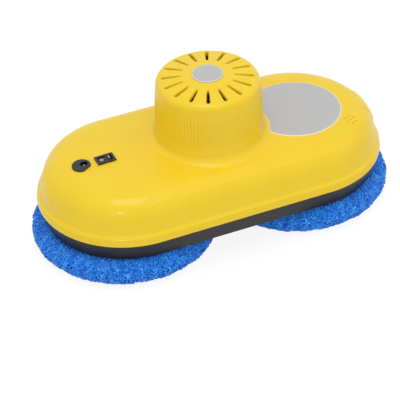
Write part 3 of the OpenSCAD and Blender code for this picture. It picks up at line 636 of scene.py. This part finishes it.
def pad_line():
    """The pad's profile: flat below, a swollen outer side, which is half an ellipse, and the
    hem over the disc."""
    t = np.linspace(-math.pi / 2, math.pi / 2, SIDE_ROWS)
    half = PAD_H / 2
    side = np.stack([PAD_BULGE_FROM + PAD_BULGE * np.cos(t), half + half * np.sin(t)], -1)
    return np.vstack([[PAD_HOLE_R, 0.0], side, PAD_HEM])


def pad_core(name, side, cols=180):
    """The profile turned about the wheel's axis. Its outer side is drawn in by a share of
    the inset that grows with the radius, so that the curls cover it."""
    line = pad_line()
    outer = line[:SIDE_ROWS + 1].copy()
    outer[:, 0] -= CORE_INSET * np.clip((outer[:, 0] - CORE_FROM) / PAD_BULGE, 0, 1)
    outer[:, 1] = np.clip(outer[:, 1], CORE_LOW, CORE_HIGH)
    line = spaced(np.vstack([outer, line[SIDE_ROWS + 1:]]), 4.0)
    a = np.arange(cols) / cols * 2 * math.pi
    points = np.stack([side * WHEEL_X + line[:, :1] * np.cos(a), line[:, :1] * np.sin(a),
        np.broadcast_to(line[:, 1:], (len(line), cols))], -1)
    return grid_mesh(name, points, ring=True, smooth=60.0)


# %% [markdown]
# A curl starts in the core, rises, and bends over in a random direction. Its middle line is
# a quadratic bend between three points. The tube round it has three sides and five rings,
# thinner at both ends. Curls under the pad are pressed flat where it stands on the glass.
# Slow waves round the pad lift the pile a little in places and change its tone.

# %% Curls of pile
RINGS, SIDES = 5, 3
CURL_LENGTH, CURL_RISE, CURL_SWAY, CURL_THICK = (2.2, 3.8), (0.1, 1.1), (-1.3, 1.3), (0.5, 0.74)
CURL_TAPER = np.array([0.6, 1.0, 1.1, 1.0, 0.6])
ROOT_DEPTH, END_DEPTH, TOP_SHARE, TOP_SINK = 2.4, 1.9, 1.1, 0.45
PILE_FROM_R, PILE_LOW, PILE_HIGH, LUMP = 44.6, 0.02, 24.2, 0.35
TONE, TONE_SPREAD, TONE_PATCH = 0.54, 0.15, 0.09


def pile_curls(side, count, seed):
    """Curls as tubes: a random place on the profile, where longer and wider steps are picked
    more often, and a random angle round the wheel. From there the root and the end lie below
    the skin on both sides, and the top stands above it. Returns points and a tone for each
    curl."""
    rng = np.random.default_rng(seed)
    line = pad_line()[:SIDE_ROWS + 2]
    line[0, 0] = PILE_FROM_R
    step = np.linalg.norm(np.diff(line, axis=0), axis=1)
    weight = step * (line[:-1, 0] + line[1:, 0]) / 2
    pick = rng.choice(len(step), count, p=weight / weight.sum())
    t = rng.random(count)[:, None]
    rz = line[pick] * (1 - t) + line[pick + 1] * t
    along = (line[pick + 1] - line[pick]) / step[pick, None]
    normal = np.stack([along[:, 1], -along[:, 0]], -1)
    a = rng.random(count) * 2 * math.pi
    ca, sa = np.cos(a), np.sin(a)
    out3 = np.stack([normal[:, 0] * ca, normal[:, 0] * sa, normal[:, 1]], -1)
    tan1 = np.stack([along[:, 0] * ca, along[:, 0] * sa, along[:, 1]], -1)
    tan2 = np.stack([-sa, ca, np.zeros(count)], -1)
    lump = np.sin(13 * a + side) * np.sin(0.4 * rz[:, 1] + 2.0) + 0.6 * np.sin(29 * a + 0.5)
    skin = np.stack([rz[:, 0] * ca, rz[:, 0] * sa, rz[:, 1]], -1) + LUMP * lump[:, None] * out3
    lean = rng.random(count) * 2 * math.pi
    flat = np.cos(lean)[:, None] * tan1 + np.sin(lean)[:, None] * tan2
    cross = -np.sin(lean)[:, None] * tan1 + np.cos(lean)[:, None] * tan2
    length = rng.uniform(*CURL_LENGTH, count)[:, None]
    rise = rng.uniform(*CURL_RISE, count)[:, None]
    sway = rng.uniform(*CURL_SWAY, count)[:, None]
    root = skin - ROOT_DEPTH * out3 - 0.5 * length * flat
    top = skin + (TOP_SHARE * rise - TOP_SINK) * out3 + sway * cross
    end = skin - END_DEPTH * out3 + 0.5 * length * flat
    thick = rng.uniform(*CURL_THICK, count)[:, None, None]
    s = np.linspace(0, 1, RINGS)[None, :, None]
    pull = (2 * top - (root + end) / 2)[:, None]
    mid = (1 - s) ** 2 * root[:, None] + 2 * s * (1 - s) * pull + s * s * end[:, None]
    run = np.gradient(mid, axis=1)
    run /= np.linalg.norm(run, axis=-1, keepdims=True)
    over = np.cross(run, cross[:, None])
    over /= np.linalg.norm(over, axis=-1, keepdims=True) + 1e-9
    beside = np.cross(run, over)
    turn = np.arange(SIDES) / SIDES * 2 * math.pi
    girth = thick * CURL_TAPER[None, :, None]
    tube = mid[:, :, None] + girth[..., None] * (np.cos(turn)[None, None, :, None]
        * over[:, :, None] + np.sin(turn)[None, None, :, None] * beside[:, :, None])
    tube[..., 2] = np.clip(tube[..., 2], PILE_LOW, PILE_HIGH)
    tube[..., 0] += side * WHEEL_X
    patch = np.sin(19 * a + 0.7) * np.sin(0.5 * rz[:, 1] + 1.0) + np.sin(43 * a + 2.0)
    shade = np.clip(rng.normal(TONE, TONE_SPREAD, count) + TONE_PATCH * patch, 0, 1)
    return tube.reshape(-1, 3), shade


def curl_faces(count):
    """Quads along each tube and a triangle on each end, for all curls at once."""
    r, k = np.meshgrid(np.arange(RINGS - 1), np.arange(SIDES), indexing="ij")
    after = (k + 1) % SIDES
    quad = np.stack([r * SIDES + k, r * SIDES + after, (r + 1) * SIDES + after,
        (r + 1) * SIDES + k], -1).reshape(-1, 4)
    base = np.arange(count)[:, None, None] * RINGS * SIDES
    quads = (base + quad[None]).reshape(-1, 4)
    ends = np.array([[2, 1, 0], (RINGS - 1) * SIDES + np.arange(SIDES)])
    return quads, (base + ends[None]).reshape(-1, 3)


def join_meshes(name, parts):
    """One mesh from (vertices in mm, list of face arrays, shade per vertex)."""
    verts, faces, shades, base = [], [], [], 0
    for v, groups, shade in parts:
        verts.append(v)
        shades.append(shade)
        for g in groups:
            faces += (np.asarray(g) + base).tolist()
        base += len(v)
    mesh = bpy.data.meshes.new(name)
    mesh.from_pydata((np.vstack(verts) * MM).tolist(), [], faces)
    tone = mesh.attributes.new("tone", "FLOAT", "POINT")
    tone.data.foreach_set("value", np.concatenate(shades).astype(np.float32))
    return mesh


def blue_pile():
    """Each curl has its own tone between a dark and a light blue, and the core has one."""
    f = Finish("blue_microfibre", linear(30, 108, 214), 0.85, Sheen_Weight=0.35,
        Sheen_Roughness=0.45)
    tone = f.attribute("tone")
    f.set("Base Color", f.add("ShaderNodeValToRGB", {"stops": [(0.0, linear(2, 80, 190)),
        (1.0, linear(110, 198, 255)), (0.4, linear(12, 126, 238)), (0.7, linear(38, 160, 254))]},
        {"Fac": tone}))
    f.relief(f.noise(0.5), 0.15)
    return f.material


blue = blue_pile()
CURLS = 13500
SEED = 7
for word, side in (("left", -1), ("right", 1)):
    core = turned_out(pad_core(word + "_pad_core", side))
    skin = points_of(core.data)
    core_quads = np.empty(len(core.data.loops), np.int32)
    core.data.loops.foreach_get("vertex_index", core_quads)
    tube, shade = pile_curls(side, CURLS, SEED + side)
    quads, tris = curl_faces(CURLS)
    mesh = join_meshes(word + "_pad_pile", [
        (skin, [core_quads.reshape(-1, 4)], np.full(len(skin), CORE_TONE)),
        (tube, [quads, tris], np.repeat(shade, SIDES * RINGS))])
    bpy.data.objects.remove(core)
    pad = finished(word + "_pad_pile", mesh, 75.0)
    pad.data.materials.append(blue)
    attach(pad, word + "_wheel")
    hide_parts(word + "_pad")
    print(pad.name, "curls:", CURLS, "faces:", len(mesh.polygons))

# %% [markdown]
# ## The label plate and the dome's disc
# Both are thin metal plates let into the yellow plastic. What shows is a flat grey face and
# a fine bright line where the edge is bevelled, which is a painted highlight: the bevel's rows
# get a lighter grey. The plate follows the crown, and its face is bare.

# %% Plates
# (share of the way to the edge, distance inside the edge, height above the cover's skin)
LABEL_ROWS = [(0.06, 3.0, 0.38), (0.25, 3.0, 0.38), (0.5, 3.0, 0.38), (0.75, 3.0, 0.38),
    (1.0, 0.9, 0.38), (1.0, 0.8, 0.38), (1.0, 0.35, 0.34), (1.0, 0.0, 0.18),
    (1.0, 0.0, -0.5), (0.06, 0.0, -0.5)]
# Rows of the label's bevel that get a painted highlight
LABEL_HIGHLIGHT_ROWS = (6, 7, 8)
DISC_COLS = 128
DISC_LINE = np.array([[0.5, 131.6], [12.6, 131.6], [12.6, 132.7], [12.35, 132.95],
    [11.9, 133.02], [11.8, 133.03], [8.0, 133.1], [0.5, 133.14]])
# Rows of the disc's bevel that get a painted highlight
DISC_HIGHLIGHT_ROWS = (3, 4)


def label_plate():
    """Rows from the middle outwards, over the bevelled edge and back to the middle. Each is
    the label's outline, shrunk towards its middle, at the skin's height plus a rise."""
    middle = np.array([LABEL_X, LABEL_Y])
    rows = []
    for share, inset, rise in LABEL_ROWS:
        xy = middle + (label_outline(-inset) - middle) * share
        rows.append(np.column_stack([xy, skin_height(from_spine(*xy.T)) + rise]))
    piece = turned_out(grid_mesh("label_face", np.array(rows), True, True, smooth=30.0))
    return painted_bevel_highlight(piece, LABEL_COLS, LABEL_HIGHLIGHT_ROWS)


def painted_bevel_highlight(piece, count, highlight_rows):
    """Marks the bevelled rows of a plate, which get a lighter grey than its face: a painted
    highlight on the bevel.
    """
    rim = np.zeros(len(piece.data.vertices), np.float32)
    for row in highlight_rows:
        rim[row * count:(row + 1) * count] = 1
    piece.data.attributes.new("rim", "FLOAT", "POINT").data.foreach_set("value", rim)
    return piece


def silver_disc():
    """The disc's profile turned about Z: each point's radius times the cosine and the sine."""
    a = np.arange(DISC_COLS) / DISC_COLS * 2 * math.pi
    radius, height = DISC_LINE[:, :1], DISC_LINE[:, 1:]
    points = np.stack([radius * np.cos(a), radius * np.sin(a),
        np.broadcast_to(height, (len(DISC_LINE), DISC_COLS))], -1)
    piece = turned_out(grid_mesh("disc_face", points, True, True, smooth=30.0))
    return painted_bevel_highlight(piece, DISC_COLS, DISC_HIGHLIGHT_ROWS)


def grey_plate_finish(name, level, rough, edge):
    """Grey with a fine grain round a level from 0 to 255, and a lighter edge level on its rim,
    which is a painted highlight.
    """
    f = Finish(name, linear(level, level, level), rough, Metallic=0.35)
    grain = f.noise(0.35, 2.0)
    face = f.blend(grain, linear(level - 5, level - 5, level - 4), linear(level + 4, level + 4,
        level + 5))
    # The bevel's rows take the edge level, a painted highlight
    f.set("Base Color", f.blend(f.attribute("rim"), face, linear(edge, edge, edge)))
    f.set("Roughness", rough - 0.06 + 0.12 * f.noise(3.0))
    f.relief(grain, 0.01)
    return f.material


plate = label_plate()
plate.data.materials.append(grey_plate_finish("grey_plate", 187, 0.55, 234))
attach(plate, "housing")
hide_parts("label_plate")
disc = silver_disc()
disc.data.materials.append(grey_plate_finish("silver_disc", 186, 0.45, 216))
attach(disc, "housing")
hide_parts("dome_disc")

# %% [markdown]
# ## Finishes for the other pieces
# The remaining pieces keep their CAD shapes. Each gets the finish of its material: moulded
# plastic with a fine spark texture, drawn steel, cut brass, bronze, nylon, felt and so on.
# A plastic's texture is a fine noise in its relief, and a metal's is a noise stretched along
# the way that it was worked.

# %% Plain finishes


def moulded(name, color, rough, grain=0.5, depth=0.03, shine=0.5):
    """Plastic with a spark texture of a grain and depth in mm, and a slow cloud of colour."""
    f = Finish(name, color, rough, Specular_IOR_Level=shine)
    speck = f.noise(grain, 2.0)
    lighter = tuple(min(1.0, c * 1.25 + 0.002) for c in color)
    f.set("Base Color", f.blend(f.noise(9.0), color, lighter))
    f.set("Roughness", rough - 0.05 + 0.1 * speck)
    f.relief(speck, depth)
    return f.material


def worked_metal(name, color, rough, stretch=(1.0, 1.0, 12.0)):
    """Metal with a noise that is squeezed along one axis, so it runs in lines across it."""
    f = Finish(name, color, rough, Metallic=1.0)
    line = f.noise(1.2, 3.0, vector=f.place(stretch))
    f.set("Base Color", f.blend(line, tuple(c * 0.85 for c in color), color))
    f.set("Roughness", rough - 0.08 + 0.16 * line)
    f.relief(line, 0.01)
    return f.material


finishes = {
    "black_controls": moulded("black_controls", linear(22, 21, 24), 0.34, 0.4, 0.01),
    # The pin's grey is darker than bare plating: painted shade from its recess in the socket
    "plated_pin": worked_metal("plated_pin", linear(130, 130, 126), 0.25),
    "black_base": moulded("black_base", linear(25, 20, 17), 0.34, 0.6, 0.02, shine=0.3),
    "screw_steel": worked_metal("screw_steel", linear(90, 90, 94), 0.35),
    "inner_plastic": moulded("inner_plastic", linear(60, 60, 64), 0.5),
    "bush_bronze": worked_metal("bush_bronze", linear(170, 125, 70), 0.45),
    "motor_steel": worked_metal("motor_steel", linear(150, 150, 154), 0.3),
    "pinion_brass": worked_metal("pinion_brass", linear(205, 170, 95), 0.3),
    "gear_nylon": moulded("gear_nylon", linear(228, 225, 212), 0.45),
    "shaft_steel": worked_metal("shaft_steel", linear(185, 185, 188), 0.2),
    "disc_plastic": moulded("disc_plastic", linear(48, 48, 52), 0.42),
    "seal_felt": moulded("seal_felt", linear(52, 52, 54), 0.95, 0.9, 0.25),
    "impeller_plastic": moulded("impeller_plastic", linear(58, 58, 62), 0.4),
    "green_board": moulded("green_board", linear(24, 112, 62), 0.35, 3.0, 0.02),
    "board_chips": moulded("board_chips", linear(34, 34, 37), 0.5),
    "sensor_plastic": moulded("sensor_plastic", linear(212, 212, 206), 0.5),
    "cell_wrap": moulded("cell_wrap", linear(48, 112, 178), 0.25, 2.0, 0.01),
}

MARK_REACH, RING_R, RING_HALF = 3.1 * MM, 1.15 * MM, 0.3 * MM
BAR_HALF, BAR_HALF_LENGTH = 0.28 * MM, 1.5 * MM
ROCKER_BLACK, MARK_WHITE = linear(16, 16, 18), linear(205, 206, 204)


def rocker_finish():
    """The switch's printed marks: a ring for off and a bar for on, in white. The ring is
    where the distance to its middle is near its radius."""
    f = Finish("black_rocker", ROCKER_BLACK, 0.22)
    x, y, _ = f.axes()
    middle_x, middle = SWITCH[0] * MM, SWITCH[1] * MM
    left, right = middle_x - MARK_REACH, middle_x + MARK_REACH
    far = ((x - left) * (x - left) + (y - middle) * (y - middle)).root()
    ring = 1 - (far - RING_R).size().above(RING_HALF)
    across, along = (x - right).size(), (y - middle).size()
    bar = (1 - across.above(BAR_HALF)) * (1 - along.above(BAR_HALF_LENGTH))
    f.set("Base Color", f.blend(ring + bar, ROCKER_BLACK, MARK_WHITE))
    f.set("Roughness", 0.2 + 0.1 * f.noise(2.0))
    f.relief(f.noise(0.8), 0.006)
    return f.material


finishes["black_rocker"] = rocker_finish()
by_slot = {}
for part in frame["record"]["subparts"]:
    if part["material_slot"] in finishes:
        node = frame["nodes"][part["node"]]
        node.data.materials.clear()
        node.data.materials.append(finishes[part["material_slot"]])
        by_slot.setdefault(part["material_slot"], []).append(part["node"])
print("dressed nodes by finish:", {k: len(v) for k, v in by_slot.items()})

# %% [markdown]
# ## Floor, background and lamps
# The background is white. The floor stays a real surface, so that it keeps the robot's soft
# shadow, but what the camera and the reflections show of it is mostly its own white glow.
# The world too is whiter for them than for the light that it gives. The light is a large
# soft box above, small ones from the front left and the right, a thin strip for the bright
# line on the shoulder, and the world all round, at a level at which a colour renders about
# as it is written.

# %% Light the scene
FLOOR_GREY, FLOOR_SEEN_GREY, FLOOR_GLOW, FLOOR_HALF = 0.8, 0.13, 0.88, 6
WORLD_LIGHT, WORLD_SEEN = 0.69, 1.0
WHITE, BLACK = (1.0, 1.0, 1.0), (0.0, 0.0, 0.0)
AIM_AT = (0, 0, 0.05)


def seen_by_eye(nodes, links):
    """1 for the rays from the camera and the ones that a shiny or clear surface sends on."""
    path = nodes.new("ShaderNodeLightPath")
    socket = path.outputs["Is Camera Ray"]
    for kind in ("Is Glossy Ray", "Is Transmission Ray"):
        most = nodes.new("ShaderNodeMath")
        most.operation = "MAXIMUM"
        links.new(socket, most.inputs[0])
        links.new(path.outputs[kind], most.inputs[1])
        socket = most.outputs[0]
    return socket


def white_floor():
    """A grey floor for the light, and a white glow over a dark one for the eye."""
    grey, seen_grey = (FLOOR_GREY,) * 3, (FLOOR_SEEN_GREY,) * 3
    f = Finish("white_floor", grey, 0.9)
    tree = f.tree
    seen = Term(f, seen_by_eye(tree.nodes, tree.links))
    f.set("Base Color", f.blend(seen, grey, seen_grey))
    glow = f.add("ShaderNodeEmission", {}, {"Color": WHITE, "Strength": FLOOR_GLOW})
    nothing = f.add("ShaderNodeEmission", {}, {"Color": BLACK, "Strength": 0.0})
    mixed = f.add("ShaderNodeMixShader", {}, {0: seen, 1: nothing, 2: glow})
    both = f.add("ShaderNodeAddShader", {}, {0: Term(f, f.shader.outputs[0]), 1: mixed})
    tree.links.new(both.socket, tree.nodes["Material Output"].inputs["Surface"])
    return f.material


floor_mesh = bpy.data.meshes.new("floor")
floor_mesh.from_pydata([(x * FLOOR_HALF, y * FLOOR_HALF, 0) for x, y in SQUARE.tolist()], [],
    [(0, 1, 2, 3)])
floor = bpy.data.objects.new("floor", floor_mesh)
bpy.context.scene.collection.objects.link(floor)
floor_mesh.materials.append(white_floor())

world = bpy.data.worlds.new("studio")
bpy.context.scene.world = world
world.use_nodes = True
nodes, links = world.node_tree.nodes, world.node_tree.links
level = nodes.new("ShaderNodeMix")
level.data_type = "FLOAT"
level.inputs[2].default_value, level.inputs[3].default_value = WORLD_LIGHT, WORLD_SEEN
links.new(seen_by_eye(nodes, links), level.inputs[0])
nodes["Background"].inputs["Color"].default_value = (*WHITE, 1.0)
links.new(level.outputs[0], nodes["Background"].inputs["Strength"])


def soft_box(name, place, size, watts, tall=None):
    """A square lamp aimed at the robot, or a rectangle where it has a height too."""
    data = bpy.data.lights.new(name, "AREA")
    data.energy, data.size = watts, size
    if tall:
        data.shape, data.size_y = "RECTANGLE", tall
    lamp = bpy.data.objects.new(name, data)
    bpy.context.scene.collection.objects.link(lamp)
    lamp.location = place
    lamp.rotation_euler = (Vector(AIM_AT) - Vector(place)).to_track_quat("-Z", "Y").to_euler()
    return lamp


soft_box("top_box", (-0.15, -0.25, 1.5), 0.7, 6.1)
soft_box("front_box", (-0.75, -1.2, 0.9), 0.22, 1.7)
soft_box("strip_box", (0.44, -0.69, 1.25), 1.1, 1.1, 0.04)
soft_box("side_box", (1.3, -0.5, 0.8), 0.5, 0.55)
bpy.context.scene.view_settings.view_transform = "Standard"
